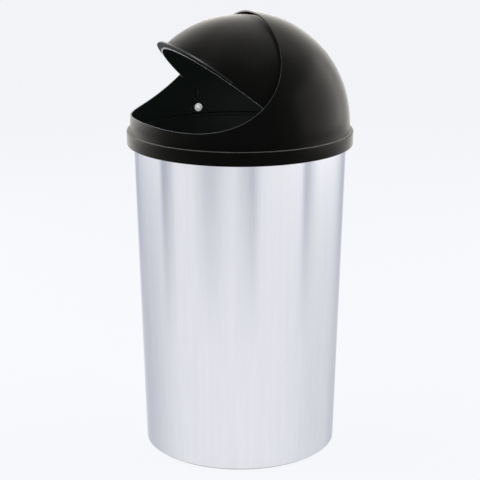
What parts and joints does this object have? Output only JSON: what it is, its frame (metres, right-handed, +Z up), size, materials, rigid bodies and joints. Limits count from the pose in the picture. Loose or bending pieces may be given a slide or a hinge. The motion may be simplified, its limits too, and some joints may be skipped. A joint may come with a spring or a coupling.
{
  "type": "dome top waste receptacle",
  "caption": "Round tapered steel waste bin with an inner bucket and a lift-off black dome cover whose curved front mouth is closed by a swinging spherical flap with a crescent brim.",
  "frame": {"origin": "on the floor, on the axis of the bin", "axes": "+Z up along the axis of the bin, the mouth faces -Y, the flap's pivot line runs along X"},
  "size_m": [0.4, 0.4, 0.7837],
  "materials": {
    "shell_steel": "vertical brushed grain, bright, slightly cool",
    "pan_steel": "plain pressed sheet",
    "dome_plastic": "black moulded plastic with a soft satin sheen",
    "liner_plastic": "black moulded plastic, dull",
    "bright_zinc": "bright zinc plate",
    "bush_nylon": "natural nylon",
    "ring_rubber": "dull black rubber"
  },
  "bodies": {
    "bin": {"body_shell": "shell_steel", "base_pan": "pan_steel", "floor_ring": "ring_rubber"},
    "bucket": {"liner": "liner_plastic"},
    "lid": {"dome_cover": "dome_plastic", "pivot_screw_left": "bright_zinc", "pivot_screw_right": "bright_zinc", "pivot_washer_left": "bright_zinc", "pivot_washer_right": "bright_zinc"},
    "swing_flap": {"flap": "dome_plastic", "pivot_bush_left": "bush_nylon", "pivot_bush_right": "bush_nylon"}
  },
  "joints": [
    {"name": "liner_lift", "type": "slide", "parent": "bin", "child": "bucket", "axis": [0, 0, 1], "range_m": [0, 0.56]},
    {"name": "lid_lift", "type": "slide", "parent": "bucket", "child": "lid", "axis": [0, 0, 1], "range_m": [0, 0.25]},
    {"name": "flap_swing", "type": "hinge", "parent": "lid", "child": "swing_flap", "pos_m": [0, -0.003, 0.5852], "axis": [-1, 0, 0], "range_deg": [-41, 34]}
  ]
}
